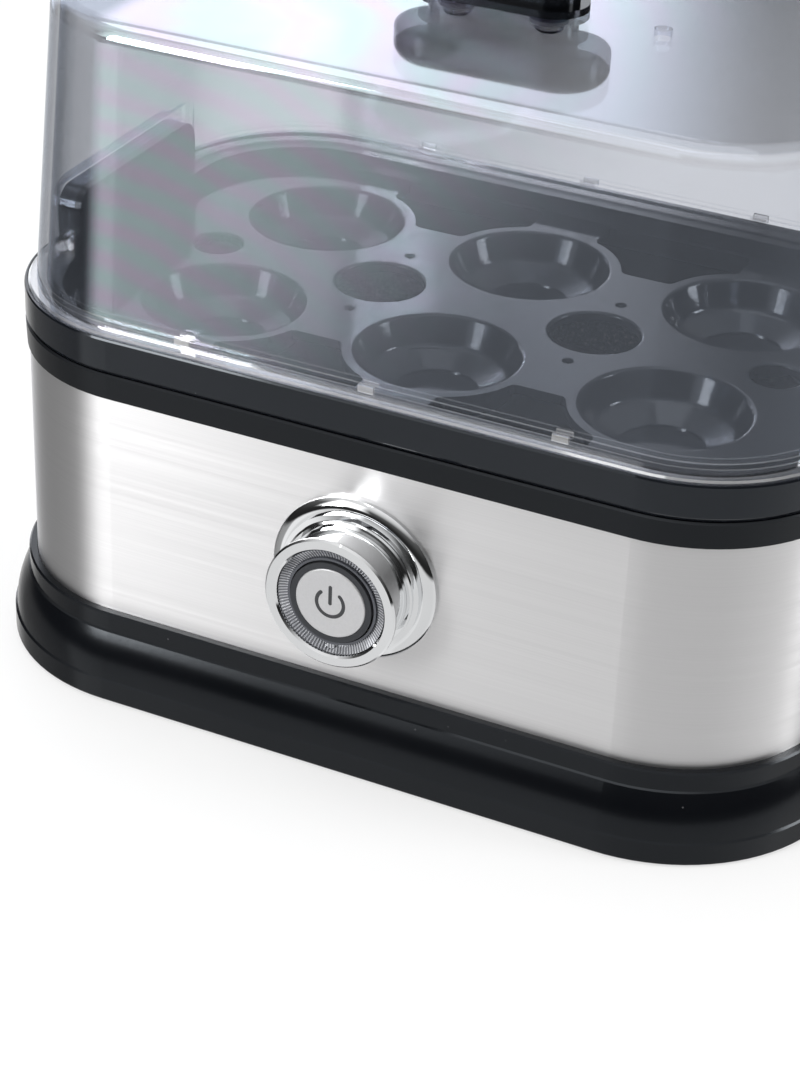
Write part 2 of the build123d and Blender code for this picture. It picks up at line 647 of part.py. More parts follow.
# The tray itself: rim with the lid's ledge, floor with six cups, steam holes and side holes,
# and a grip ear at each end.
ledge_in = SLIP - LEDGE_W
wall_foot = ledge_in - TRAY_WALL_DRAFT
ear_out_x = BODY_LENGTH / 2 - EAR_INSET
with BuildPart() as egg_tray:
    with BuildSketch(ring_plane):
        with BuildLine():
            Polyline(
                (COLLAR_OUT - EDGE, tray_bottom),
                (COLLAR_OUT, tray_bottom + TRAY_EDGE),
                (COLLAR_OUT, tray_top - EDGE),
                (COLLAR_OUT - EDGE / 2, tray_top),
                (SLIP, tray_top),
                (SLIP, ledge_z),
                (ledge_in, ledge_z),
                (wall_foot, tray_floor),
                (wall_foot, tray_floor - TRAY_T),
                (wall_foot, tray_bottom - TRAY_SKIRT_H),
                (wall_foot + TRAY_T, tray_bottom - TRAY_SKIRT_H),
                (ledge_in + TRAY_T, ledge_z - TRAY_T),
                (SLIP - TRAY_T, ledge_z - TRAY_T),
                (SLIP - TRAY_T, tray_bottom),
                (COLLAR_OUT - EDGE, tray_bottom),
            )
        make_face()
    sweep(path=ring_path)
    with BuildSketch(Plane.XY.offset(tray_floor - TRAY_T)):
        RectangleRounded(*rounded(wall_foot + TRAY_T / 2))
    extrude(amount=TRAY_T)
    with GridLocations(PITCH_X, PITCH_Y, 3, 2):
        add(cup_outside.part)
    with GridLocations(PITCH_X, PITCH_Y, 3, 2):
        add(cup_hollow.part, mode=Mode.SUBTRACT)
    fillet(
        egg_tray.edges().filter_by(GeomType.CIRCLE).filter_by(
            lambda e: abs(e.radius - CUP_R) < MATCH and abs(e.center().Z - tray_floor) < MATCH
        ),
        CUP_LIP_R,
    )
    with BuildSketch(Plane.XY.offset(tray_floor - TRAY_T)):
        with GridLocations(PITCH_X, 0, 2, 1):
            Circle(STEAM_HOLE_R)
        with GridLocations(2 * END_HOLE_X, 0, 2, 1):
            Circle(END_HOLE_R)
        with GridLocations(PITCH_X, 2 * PIN_HOLE_Y, 2, 2):
            Circle(PIN_HOLE_R)
    extrude(amount=TRAY_T, mode=Mode.SUBTRACT)
    fillet(
        egg_tray.edges().filter_by(GeomType.CIRCLE).filter_by(
            lambda e: e.radius < STEAM_HOLE_R + MATCH and abs(e.center().Z - tray_floor) < MATCH
            and e.radius > PIN_HOLE_R + MATCH and abs(e.center().Y) < MATCH
        ),
        HOLE_LIP_R,
    )
    side_hole_end_y = BODY_WIDTH / 2 + wall_foot - SIDE_HOLE_WALL_MARGIN
    with BuildSketch(Plane.XY.offset(tray_floor - TRAY_T)):
        with Locations(corners(PITCH_X / 2, (SIDE_HOLE_START_Y + side_hole_end_y) / 2)):
            Rectangle(SIDE_HOLE_W, side_hole_end_y - SIDE_HOLE_START_Y)
        with GridLocations(PITCH_X, PITCH_Y, 3, 2):
            Circle(CUP_R + SIDE_HOLE_CUP_MARGIN, mode=Mode.SUBTRACT)
        offset(amount=-SIDE_HOLE_CORNER_R)
        offset(amount=SIDE_HOLE_CORNER_R)
    extrude(amount=TRAY_T, mode=Mode.SUBTRACT)
    with BuildSketch(Plane.YZ.offset(ear_out_x)):
        with Locations((0, (ledge_z + tray_top + EAR_H) / 2 - TRAY_T / 2)):
            RectangleRounded(EAR_W, tray_top + EAR_H - ledge_z + TRAY_T, EAR_CORNER_R)
    extrude(amount=-EAR_T)
    with BuildSketch(Plane.YZ.offset(-ear_out_x)):
        with Locations((0, (ledge_z + tray_top + EAR_H) / 2 - TRAY_T / 2)):
            RectangleRounded(EAR_W, tray_top + EAR_H - ledge_z + TRAY_T, EAR_CORNER_R)
    extrude(amount=EAR_T)
    for side in (-1, 1):
        with BuildSketch(Plane.YZ.offset(side * ear_out_x)):
            with Locations((0, tray_top + EAR_H / 2)):
                RectangleRounded(FINGER_W, FINGER_H, FINGER_CORNER_R)
        extrude(amount=-side * FINGER_DEPTH, mode=Mode.SUBTRACT)
save(egg_tray, "egg_tray")

# Lid: clear moulded shell with a bottom flange, drafted walls, a rounded roof edge and a
# notch at each end that clears the tray's ears. The flange follows the notch as a bead.
notch_w = EAR_W + 2 * NOTCH_CLEAR
notch_top = tray_top + EAR_H + NOTCH_CLEAR
lid_edge_z = lid_top - LID_EDGE_R
lid_edge_in = -LID_FOOT_INSET - LID_DRAFT_INSET
lid_flange_x = BODY_LENGTH / 2 - LID_FLANGE_INSET
with BuildPart() as lid_shell:
    with BuildSketch(ring_plane):
        with BuildLine():
            Polyline(
                (-LID_FOOT_INSET - LID_T, lid_bottom),
                (-LID_FLANGE_INSET, lid_bottom),
                (-LID_FLANGE_INSET, lid_flange_top - EDGE),
                (-LID_FLANGE_INSET - EDGE, lid_flange_top),
                (-LID_FOOT_INSET, lid_flange_top),
                (lid_edge_in, lid_edge_z),
            )
            RadiusArc((lid_edge_in, lid_edge_z), (lid_edge_in - LID_EDGE_R, lid_top), -LID_EDGE_R)
            Polyline(
                (lid_edge_in - LID_EDGE_R, lid_top),
                (lid_edge_in - LID_EDGE_R - ROOF_LAP, lid_top),
                (lid_edge_in - LID_EDGE_R - ROOF_LAP, lid_top - LID_T),
                (lid_edge_in - LID_EDGE_R, lid_top - LID_T),
            )
            RadiusArc(
                (lid_edge_in - LID_EDGE_R, lid_top - LID_T),
                (lid_edge_in - LID_T, lid_edge_z),
                LID_EDGE_R - LID_T,
            )
            Line((lid_edge_in - LID_T, lid_edge_z), (-LID_FOOT_INSET - LID_T, lid_bottom))
        make_face()
    sweep(path=ring_path)
    with BuildSketch(Plane.XY.offset(lid_top - LID_T)):
        RectangleRounded(*rounded(lid_edge_in - LID_EDGE_R - ROOF_LAP / 2))
    extrude(amount=LID_T)
    for side in (-1, 1):
        with BuildSketch(Plane.YZ.offset(side * lid_flange_x)):
            with Locations((0, (lid_bottom + notch_top + NOTCH_BEAD) / 2)):
                Rectangle(notch_w + 2 * NOTCH_BEAD, notch_top + NOTCH_BEAD - lid_bottom)
        extrude(amount=-side * NOTCH_BEAD_DEPTH)
        with BuildSketch(Plane.YZ.offset(side * (lid_flange_x + CUT_OVER))):
            with Locations((0, notch_top - EAR_CORNER_R - EAR_H)):
                RectangleRounded(notch_w, 2 * (EAR_CORNER_R + EAR_H), EAR_CORNER_R + NOTCH_CLEAR)
        extrude(amount=-side * NOTCH_CUT, mode=Mode.SUBTRACT)
        with BuildSketch(Plane.YZ.offset(side * (lid_flange_x + CUT_OVER))):
            with Locations((0, notch_top + NOTCH_BEAD - EAR_CORNER_R - EAR_H)):
                Rectangle(notch_w + 2 * NOTCH_BEAD, 2 * (EAR_CORNER_R + EAR_H))
                RectangleRounded(
                    notch_w + 2 * NOTCH_BEAD,
                    2 * (EAR_CORNER_R + EAR_H),
                    EAR_CORNER_R + NOTCH_CLEAR + NOTCH_BEAD,
                    mode=Mode.SUBTRACT,
                )
            with Locations((0, lid_bottom - EAR_H)):
                Rectangle(2 * notch_w, 2 * EAR_H, mode=Mode.SUBTRACT)
        extrude(amount=-side * (LID_FOOT_INSET - LID_FLANGE_INSET + CUT_OVER), mode=Mode.SUBTRACT)
    with BuildSketch(Plane.XY.offset(lid_flange_top + NUB_RISE)):
        with GridLocations(NUB_PITCH, 2 * (back_y - LID_FOOT_INSET - LID_T / 2), 3, 2):
            Rectangle(NUB_L, LID_T + 2 * NUB_OUT)
    extrude(amount=NUB_H)
    with BuildSketch(Plane.XY.offset(lid_top - LID_T)):
        with GridLocations(2 * VENT_X, 0, 2, 1):
            Circle(VENT_R)
        with GridLocations(HANDLE_SCREW_PITCH, 0, 2, 1):
            Circle(SCREW_R + SLIP)
    extrude(amount=LID_T, mode=Mode.SUBTRACT)
save(lid_shell, "lid_shell")

# Lid handle: black moulded grip on the roof, with two screws and washers from inside
with BuildPart() as lid_handle:
    with BuildSketch(Plane.XY.offset(lid_top + TOUCH)):
        SlotOverall(HANDLE_NECK_L + 2 * HANDLE_FOOT_LIP, HANDLE_NECK_W + 2 * HANDLE_FOOT_LIP)
    extrude(amount=HANDLE_FOOT_H)
    with BuildSketch(Plane.XY.offset(lid_top + TOUCH)):
        SlotOverall(HANDLE_NECK_L, HANDLE_NECK_W)
    extrude(amount=HANDLE_H - HANDLE_TOP_R)
    with BuildSketch(Plane.XY.offset(lid_top + HANDLE_NECK_H)):
        SlotOverall(HANDLE_L, HANDLE_W)
    extrude(amount=HANDLE_H - HANDLE_NECK_H)
    fillet(lid_handle.faces().sort_by(Axis.Z)[-1].edges(), HANDLE_TOP_R)
    under = lid_handle.faces().filter_by(
        lambda f: abs(f.center().Z - lid_top - HANDLE_NECK_H) < MATCH and f.normal_at().Z < 0
    )[0]
    fillet(under.outer_wire().edges(), HANDLE_UNDER_R)
    with BuildSketch(Plane.XY.offset(lid_top + TOUCH)):
        with GridLocations(HANDLE_SCREW_PITCH, 0, 2, 1):
            Circle(SCREW_R + TOUCH)
    extrude(amount=HANDLE_SCREW_BITE + 2 * TOUCH, mode=Mode.SUBTRACT)
save(lid_handle, "lid_handle")

washer_top = lid_top - LID_T - TOUCH
with BuildPart() as handle_washers:
    with BuildSketch(Plane.XY.offset(washer_top)):
        with GridLocations(HANDLE_SCREW_PITCH, 0, 2, 1):
            Circle(WASHER_R)
            Circle(SCREW_R + SLIP, mode=Mode.SUBTRACT)
    extrude(amount=-WASHER_T)
save(handle_washers, "handle_washers")

with BuildPart() as handle_screws:
    with BuildSketch(Plane.XY.offset(washer_top - WASHER_T - TOUCH)):
        with GridLocations(HANDLE_SCREW_PITCH, 0, 2, 1):
            Circle(SCREW_HEAD_R)
    extrude(amount=-SCREW_HEAD_H)
    fillet(handle_screws.faces().sort_by(Axis.Z)[:2].edges(), DOME_R)
    with BuildSketch(Plane.XY.offset(washer_top - WASHER_T - TOUCH)):
        with GridLocations(HANDLE_SCREW_PITCH, 0, 2, 1):
            Circle(SCREW_R)
    extrude(amount=LID_T + WASHER_T + HANDLE_SCREW_BITE)
save(handle_screws, "handle_screws")

# Button bezel: chromed stepped ring against the steel
with BuildPart() as button_bezel:
    with BuildSketch(button_plane):
        with BuildLine():
            Polyline(
                (TAIL_R + SLIP, 0),
                (BEZEL_R, 0),
                (BEZEL_R, BEZEL_EDGE),
            )
            ThreePointArc(
                (BEZEL_R, BEZEL_EDGE),
                ((BEZEL_R + BEZEL_DOME_R) / 2 + EDGE, (BEZEL_EDGE + BEZEL_DOME_H) / 2 + EDGE / 2),
                (BEZEL_DOME_R, BEZEL_DOME_H),
            )
            Polyline(
                (BEZEL_DOME_R, BEZEL_DOME_H),
                (BEZEL_DOME_R, BEZEL_STEP_H),
                (BEZEL_STEP_R, BEZEL_STEP_H + EDGE / 2),
                (BEZEL_STEP_R, BEZEL_H - EDGE / 2),
                (BEZEL_STEP_R - EDGE, BEZEL_H),
                (TAIL_R + SLIP, BEZEL_H),
                (TAIL_R + SLIP, 0),
            )
        make_face()
    revolve(axis=button_axis)
save(button_bezel, "button_bezel")

# Button housing: chromed barrel with a threaded tail through the steel and a guide web inside
with BuildPart() as button_housing:
    with BuildSketch(button_plane):
        with BuildLine():
            Polyline(
                (INNER_BORE_R, -TAIL_LEN),
                (TAIL_R, -TAIL_LEN),
                (TAIL_R, BEZEL_H + TOUCH),
                (BARREL_R, BEZEL_H + TOUCH),
                (BARREL_R - EDGE, FACE_OUT - FACE_RING_T - BARREL_NECK_H),
                (FACE_RING_R - EDGE, FACE_OUT - FACE_RING_T),
                (FACE_RING_R, FACE_OUT - FACE_RING_T + EDGE),
                (FACE_RING_R, FACE_OUT - EDGE),
                (FACE_RING_R - EDGE, FACE_OUT),
                (FACE_RING_BORE_R + EDGE, FACE_OUT),
                (FACE_RING_BORE_R, FACE_OUT - EDGE),
                (FACE_RING_BORE_R, LIGHT_RING_BACK - TOUCH),
                (INNER_BORE_R, LIGHT_RING_BACK - TOUCH),
                (INNER_BORE_R, WEB_FRONT),
                (STEM_R + STEM_FIT, WEB_FRONT),
                (STEM_R + STEM_FIT, WEB_BACK),
                (INNER_BORE_R, WEB_BACK),
                (INNER_BORE_R, -TAIL_LEN),
            )
        make_face()
    revolve(axis=button_axis)
save(button_housing, "button_housing")

with BuildPart() as housing_nut:
    with BuildSketch(button_face.offset(-STEEL_T - TOUCH)):
        RegularPolygon(HOUSING_NUT_R, 6, major_radius=False)
        Circle(TAIL_R + TOUCH, mode=Mode.SUBTRACT)
    extrude(amount=-HOUSING_NUT_H)
save(housing_nut, "housing_nut")

# Light ring: clear moulded ring around the cap, with a sloping face and an inner lip
light_top = FACE_OUT - LIGHT_RING_DROP
with BuildPart() as light_ring:
    with BuildSketch(button_plane):
        with BuildLine():
            Polyline(
                (LIGHT_RING_BORE_R, LIGHT_RING_BACK),
                (LIGHT_RING_OUTER_R, LIGHT_RING_BACK),
                (LIGHT_RING_OUTER_R, light_top),
                (LIGHT_RING_BORE_R + LIGHT_LIP_T, light_top - LIGHT_RING_SLOPE),
                (LIGHT_RING_BORE_R + LIGHT_LIP_T, light_top - LIGHT_RING_SLOPE + LIGHT_LIP_H),
                (LIGHT_RING_BORE_R, light_top - LIGHT_RING_SLOPE + LIGHT_LIP_H),
                (LIGHT_RING_BORE_R, LIGHT_RING_BACK),
            )
        make_face()
    revolve(axis=button_axis)
save(light_ring, "light_ring")

# Ring-shaped circuit board with lamps behind the light ring
with BuildPart() as lamp_board:
    with BuildSketch(button_face.offset(BOARD_BACK)):
        Circle(INNER_BORE_R - SLIP)
        Circle(BOARD_BORE_R, mode=Mode.SUBTRACT)
    extrude(amount=BOARD_T)
save(lamp_board, "lamp_board")

with BuildPart() as lamps:
    with BuildSketch(button_face.offset(BOARD_BACK + BOARD_T)):
        with PolarLocations(INNER_BORE_R - 2 * SLIP - LED_SIZE / 2, LED_COUNT):
            Rectangle(LED_SIZE, LED_SIZE)
    extrude(amount=LED_H)
save(lamps, "lamps")

# Moving button: stem with a head, a metal cap and the dark ring round it
with BuildPart() as button_stem:
    with BuildSketch(button_face.offset(stem_back)):
        Circle(STEM_R)
    extrude(amount=stem_head_back - stem_back)
    with BuildSketch(button_face.offset(stem_head_back)):
        Circle(STEM_HEAD_R)
    extrude(amount=STEM_HEAD_T)
save(button_stem, "button_stem")

cap_back = stem_head_back + STEM_HEAD_T + TOUCH
with BuildPart() as button_cap:
    with BuildSketch(button_face.offset(cap_back)):
        Circle(CAP_R)
    extrude(amount=CAP_FRONT - cap_back)
    fillet(button_cap.faces().sort_by(Axis.Y)[0].edges(), CAP_EDGE_R)
save(button_cap, "button_cap")

with BuildPart() as cap_ring:
    with BuildSketch(button_face.offset(cap_back)):
        Circle(STEM_HEAD_R)
        Circle(CAP_R + TOUCH, mode=Mode.SUBTRACT)
    extrude(amount=CAP_RING_FRONT - cap_back)
save(cap_ring, "cap_ring")

# Return spring, in the space between the guide web and the stem's head
spring_len = stem_head_back - WEB_FRONT - 2 * SPRING_WIRE_R - 2 * TOUCH
with BuildPart() as return_spring:
    spring_start = (0, front_y - WEB_FRONT - SPRING_WIRE_R - TOUCH, BUTTON_Z)
    with BuildLine() as spring_path:
        Helix(spring_len / SPRING_TURNS, spring_len, SPRING_R, center=spring_start, direction=(0, -1, 0))
    with BuildSketch(Plane(origin=spring_path.line @ 0, z_dir=spring_path.line % 0)):
        Circle(SPRING_WIRE_R)
    sweep(path=spring_path.wires()[0], is_frenet=True)
save(return_spring, "return_spring")

# Push switch behind the button: the stem's end slides in its socket
with BuildPart() as push_switch:
    with BuildSketch(button_face.offset(SWITCH_FRONT)):
        RectangleRounded(SWITCH_W, SWITCH_W, 1.0)
    extrude(amount=-SWITCH_L)
    with BuildSketch(button_face.offset(SWITCH_FRONT)):
        Circle(STEM_R + SOCKET_CLEAR)
    extrude(amount=-STEM_IN_SOCKET - BUTTON_TRAVEL - SOCKET_SPARE, mode=Mode.SUBTRACT)
    with BuildSketch(button_face.offset(SWITCH_FRONT - SWITCH_L)):
        with GridLocations(BRACKET_WINDOW / 2, 0, 2, 1):
            Rectangle(TAB_T, TAB_W)
    extrude(amount=-TAB_L)
save(push_switch, "push_switch")

# Switch bracket: bent steel, standing on the bottom plate with two screws
switch_bottom = BUTTON_Z - SWITCH_W / 2
with BuildPart() as switch_bracket:
    with BuildSketch(Plane.XZ.offset(-bracket_back_y)):
        with Locations((0, (plate_top + BUTTON_Z + SWITCH_W / 2) / 2)):
            Rectangle(BRACKET_W, BUTTON_Z + SWITCH_W / 2 - plate_top)
        with Locations((0, BUTTON_Z)):
            Rectangle(BRACKET_WINDOW, BRACKET_WINDOW, mode=Mode.SUBTRACT)
    extrude(amount=-BRACKET_T)
    with BuildSketch(Plane.XY.offset(plate_top)):
        with Locations((0, bracket_screw_y)):
            Rectangle(BRACKET_W, BRACKET_FOOT_L)
            with GridLocations(BRACKET_SCREW_PITCH, 0, 2, 1):
                Circle(SCREW_R + SLIP, mode=Mode.SUBTRACT)
    extrude(amount=BRACKET_T)
    with BuildSketch(Plane.XY.offset(switch_bottom - TOUCH)):
        with Locations((0, bracket_back_y - SWITCH_L / 4)):
            Rectangle(BRACKET_W, SWITCH_L / 2)
    extrude(amount=-BRACKET_T)
save(switch_bracket, "switch_bracket")

with BuildPart() as bracket_screws:
    with BuildSketch(Plane.XY.offset(plate_top + BRACKET_T)):
        with Locations((0, bracket_screw_y)):
            with GridLocations(BRACKET_SCREW_PITCH, 0, 2, 1):
                Circle(SMALL_HEAD_R)
    extrude(amount=SMALL_HEAD_H)
    with BuildSketch(Plane.XY.offset(plate_top + BRACKET_T)):
        with Locations((0, bracket_screw_y)):
            with GridLocations(BRACKET_SCREW_PITCH, 0, 2, 1):
                Circle(SCREW_R)
    extrude(amount=-BRACKET_T - PLATE_T + SLIP)
save(bracket_screws, "bracket_screws")

# Cord gland: black bushing through the back of the steel, with its nut inside
with BuildPart() as cord_gland:
    with BuildSketch(gland_plane):
        with BuildLine():
            Polyline(
                (GLAND_BORE_R, -GLAND_TAIL_L),
                (GLAND_R, -GLAND_TAIL_L),
                (GLAND_R, TOUCH),
                (GLAND_FLANGE_R, TOUCH),
                (GLAND_FLANGE_R, GLAND_FLANGE_T - EDGE),
                (GLAND_FLANGE_R - EDGE, GLAND_FLANGE_T),
                (GLAND_NOSE_R, GLAND_FLANGE_T),
                (GLAND_NOSE_R, GLAND_FLANGE_T + GLAND_NOSE_L),
                (GLAND_BORE_R, GLAND_FLANGE_T + GLAND_NOSE_L),
                (GLAND_BORE_R, -GLAND_TAIL_L),
            )
        make_face()
    revolve(axis=gland_axis)
save(cord_gland, "cord_gland")

with BuildPart() as gland_nut:
    with BuildSketch(gland_face.offset(-STEEL_T - TOUCH)):
        RegularPolygon(GLAND_NUT_AF / 2, 6, major_radius=False)
        Circle(GLAND_R + TOUCH, mode=Mode.SUBTRACT)
    extrude(amount=-GLAND_NUT_H)
save(gland_nut, "gland_nut")

# Terminal block on the bottom plate, with its brass clamp screws
block_top = plate_top + BLOCK_H
with BuildPart() as terminal_block:
    with BuildSketch(Plane.XY.offset(plate_top)):
        with Locations((BLOCK_X, BLOCK_Y)):
            RectangleRounded(BLOCK_L, BLOCK_W, BLOCK_EDGE_R)
    extrude(amount=BLOCK_H)
    with BuildSketch(Plane.XY.offset(block_top)):
        with Locations((BLOCK_X, BLOCK_Y)):
            with GridLocations(BLOCK_POLE_PITCH, BLOCK_SIDE_PITCH, 3, 2):
                Circle(BLOCK_SCREW_R + SLIP)
    extrude(amount=-BLOCK_SCREW_H - SLIP, mode=Mode.SUBTRACT)
save(terminal_block, "terminal_block")

with BuildPart() as block_screws:
    with BuildSketch(Plane.XY.offset(block_top - BLOCK_SCREW_H)):
        with Locations((BLOCK_X, BLOCK_Y)):
            with GridLocations(BLOCK_POLE_PITCH, BLOCK_SIDE_PITCH, 3, 2):
                Circle(BLOCK_SCREW_R)
    extrude(amount=BLOCK_SCREW_H - SLIP)
save(block_screws, "block_screws")

# Inside wiring: from the block to the switch, from the switch to the thermostat, from the
# thermostat to one pin of the element, and from the other pin back to the block.
tab_y = bracket_back_y + TAB_L + WIRE_R + WIRE_GAP
tab_x = BRACKET_WINDOW / 4
sensor_z = dish_bottom - THERMOSTAT_H - TAB_L - WIRE_R - WIRE_GAP
sensor_y = THERMOSTAT_R / 2
pin_x = ELEMENT_END_X - PIN_LEN / 2
pin_z = element_z - PIN_R - WIRE_GAP
wire_z = plate_top + BLOCK_H / 2
block_side_y = BLOCK_Y - BLOCK_W / 2 - WIRE_R - WIRE_GAP
block_end_x = BLOCK_X - BLOCK_L / 2 - WIRE_R - WIRE_GAP
wire_routes = [
    [
        (BLOCK_X + BLOCK_POLE_PITCH, block_side_y, wire_z),
        (BLOCK_X + 1.5 * BLOCK_POLE_PITCH, block_side_y / 3, wire_z + WIRE_RISE),
        (-tab_x, tab_y, BUTTON_Z),
    ],
    [
        (tab_x, tab_y, BUTTON_Z),
        (2 * tab_x, tab_y + WIRE_RISE / 2, BUTTON_Z - WIRE_RISE / 2),
        (SENSOR_WIRE_X, -sensor_y, sensor_z),
    ],
    [
        (-SENSOR_WIRE_X, sensor_y, sensor_z),
        (pin_x / 2, 0, sensor_z - WIRE_RISE / 2),
        (pin_x, -ELEMENT_Y, pin_z - WIRE_RISE),
        (pin_x, -ELEMENT_Y, pin_z),
    ],
    [
        (block_end_x, BLOCK_Y, wire_z),
        (pin_x, ELEMENT_Y, pin_z - WIRE_RISE),
        (pin_x, ELEMENT_Y, pin_z),
    ],
]
with BuildPart() as lead_wires:
    for route in wire_routes:
        with BuildLine() as run:
            Spline(*route)
        with BuildSketch(Plane(origin=run.line @ 0, z_dir=run.line % 0)):
            Circle(WIRE_R)
        sweep(path=run.wires()[0])
save(lead_wires, "lead_wires")
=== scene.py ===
import json
from math import cos, pi, radians, sin

import bpy
import numpy as np
from mathutils import Matrix, Vector


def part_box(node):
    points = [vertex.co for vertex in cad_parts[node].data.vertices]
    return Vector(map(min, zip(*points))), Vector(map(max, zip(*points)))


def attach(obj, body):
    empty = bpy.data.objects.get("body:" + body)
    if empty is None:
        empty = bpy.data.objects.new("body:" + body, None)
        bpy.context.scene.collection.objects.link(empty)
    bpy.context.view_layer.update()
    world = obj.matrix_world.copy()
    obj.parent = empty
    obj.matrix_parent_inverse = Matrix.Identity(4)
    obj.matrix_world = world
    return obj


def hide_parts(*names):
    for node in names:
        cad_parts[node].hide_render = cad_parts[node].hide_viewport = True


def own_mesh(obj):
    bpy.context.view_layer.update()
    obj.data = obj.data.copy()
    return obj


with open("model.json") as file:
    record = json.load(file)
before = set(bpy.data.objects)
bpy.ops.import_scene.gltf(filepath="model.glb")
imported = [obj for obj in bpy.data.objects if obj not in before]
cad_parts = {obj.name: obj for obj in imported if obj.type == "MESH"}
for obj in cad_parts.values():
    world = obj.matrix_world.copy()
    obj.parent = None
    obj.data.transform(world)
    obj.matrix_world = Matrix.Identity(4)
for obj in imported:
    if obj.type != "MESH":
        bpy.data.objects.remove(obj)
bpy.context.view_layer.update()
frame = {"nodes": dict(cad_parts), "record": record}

# Camera: to the front right of the cooker and above it, where the photograph was taken from. The
# photograph is a square picture stretched upwards. This view isn't stretched, so it takes in more
# above and below the cooker. Angles are in radians.
VIEW_AZIMUTH = 0.422
VIEW_ELEVATION = 0.540
VIEW_ROLL = 0.042
VIEW_DISTANCE = 0.5507
VIEW_AIM = Vector((0.0019, -0.0437, 0.0445))
VIEW_LENS = 87.9
VIEW_CLIP = 0.02

back = Vector((sin(VIEW_AZIMUTH) * cos(VIEW_ELEVATION), -cos(VIEW_AZIMUTH) * cos(VIEW_ELEVATION),
               sin(VIEW_ELEVATION)))
level = Vector((cos(VIEW_AZIMUTH), sin(VIEW_AZIMUTH), 0))
upright = back.cross(level)
right = cos(VIEW_ROLL) * level + sin(VIEW_ROLL) * upright
up = cos(VIEW_ROLL) * upright - sin(VIEW_ROLL) * level
view_turn = Matrix((right, up, back)).transposed().to_4x4()
camera = bpy.data.objects.new("camera", bpy.data.cameras.new("camera"))
camera.data.lens = VIEW_LENS
camera.data.clip_start = VIEW_CLIP
camera.matrix_world = Matrix.Translation(VIEW_AIM + VIEW_DISTANCE * back) @ view_turn
bpy.context.scene.collection.objects.link(camera)
bpy.context.scene.camera = camera
bpy.context.scene.view_settings.view_transform = "Standard"

# Table: a plain pale floor that takes the light and the cooker's shadow. To the camera it is
# mostly plain white, and glossy rays go on through it to the lower half of the room.
FLOOR_HALF = 6.0
FLOOR_COLOUR = (0.88, 0.88, 0.88, 1)
FLOOR_ROUGH = 0.6
FLOOR_WHITE = 0.62
WHITE = (1, 1, 1, 1)


class Socket:
    """An output of a shader node. Sums, differences and products of it add their own Math nodes."""

    def __init__(self, tree, out=None):
        self.tree = tree
        self.out = out

    def node(self, kind, settings=None, inputs=None, out=0):
        """A new node: its settings first, then the values or links of its sockets. Gives one output."""
        made = self.tree.nodes.new("ShaderNode" + kind)
        for name, value in (settings or {}).items():
            if name == "stops":
                while len(made.color_ramp.elements) < len(value):
                    made.color_ramp.elements.new(1.0)
                for stop, (place, grey) in zip(made.color_ramp.elements, value):
                    stop.position, stop.color = place, (grey, grey, grey, 1)
            else:
                setattr(made, name, value)
        for name, value in (inputs or {}).items():
            if isinstance(value, Socket):
                self.tree.links.new(value.out, made.inputs[name])
            else:
                made.inputs[name].default_value = value
        return Socket(self.tree, made.outputs[out])

    def math(self, operation, *others):
        """A Math node's result for this value and the others."""
        return self.node("Math", {"operation": operation}, dict(enumerate((self, *others))))

    def __add__(self, other):
        return self.math("ADD", other)

    def __sub__(self, other):
        return self.math("SUBTRACT", other)

    def __rsub__(self, other):
        return self.node("Math", {"operation": "SUBTRACT"}, {0: other, 1: self})

    def __mul__(self, other):
        return self.math("MULTIPLY", other)

    __radd__ = __add__
    __rmul__ = __mul__

    def ray(self, sort):
        """1 for a ray of the named sort, otherwise 0."""
        return self.node("LightPath", out=sort)

    def parts(self):
        """The three parts of a vector."""
        split = self.node("SeparateXYZ", None, {0: self}).out.node
        return [Socket(self.tree, out) for out in split.outputs]

    def between(self, low, high):
        """Low where this value is 0, high where it is 1, and evenly between."""
        return self * (high - low) + low

    def ease(self, low, high):
        """0 up to low, 1 from high, with a smooth step between. Low may be the larger."""
        return self.node("MapRange", {"interpolation_type": "SMOOTHSTEP"}, {0: self, 1: low, 2: high})

    def wave(self, pitch):
        """A sine wave from 0 to 1 that repeats each time this value grows by pitch."""
        return (self * (2 * pi / pitch)).math("SINE") * 0.5 + 0.5

    def colours(self, first, second):
        """The colour first where this value is 0, and second where it is 1."""
        return self.node("Mix", {"data_type": "RGBA"}, {0: self, 6: first, 7: second}, out=2)


def finish(name):
    """A new material, a Socket to build its nodes from, and its place on the object."""
    material = bpy.data.materials.new(name)
    material.use_nodes = True
    material.node_tree.nodes.clear()
    start = Socket(material.node_tree)
    return material, start, start.node("TexCoord", out="Object")


def cover(shader, kind="Material"):
    """The shader becomes the surface of its material, or of the world."""
    output = shader.tree.nodes.new("ShaderNodeOutput" + kind)
    shader.tree.links.new(shader.out, output.inputs["Surface"])


floor_mesh = bpy.data.meshes.new("floor")
floor_mesh.from_pydata([(-FLOOR_HALF, -FLOOR_HALF, 0), (FLOOR_HALF, -FLOOR_HALF, 0),
                        (FLOOR_HALF, FLOOR_HALF, 0), (-FLOOR_HALF, FLOOR_HALF, 0)], [], [(0, 1, 2, 3)])
floor = bpy.data.objects.new("floor", floor_mesh)
bpy.context.scene.collection.objects.link(floor)
floor_paint, start, _ = finish("floor_paint")
lit = start.node("BsdfPrincipled", None, {"Base Color": FLOOR_COLOUR, "Roughness": FLOOR_ROUGH})
white = start.node("Emission", None, {"Color": WHITE})
table = start.node("MixShader", None, {0: start.ray("Is Camera Ray") * FLOOR_WHITE, 1: lit, 2: white})
through = start.node("BsdfTransparent")
cover(start.node("MixShader", None, {0: start.ray("Is Glossy Ray"), 1: table, 2: through}))
floor_mesh.materials.append(floor_paint)

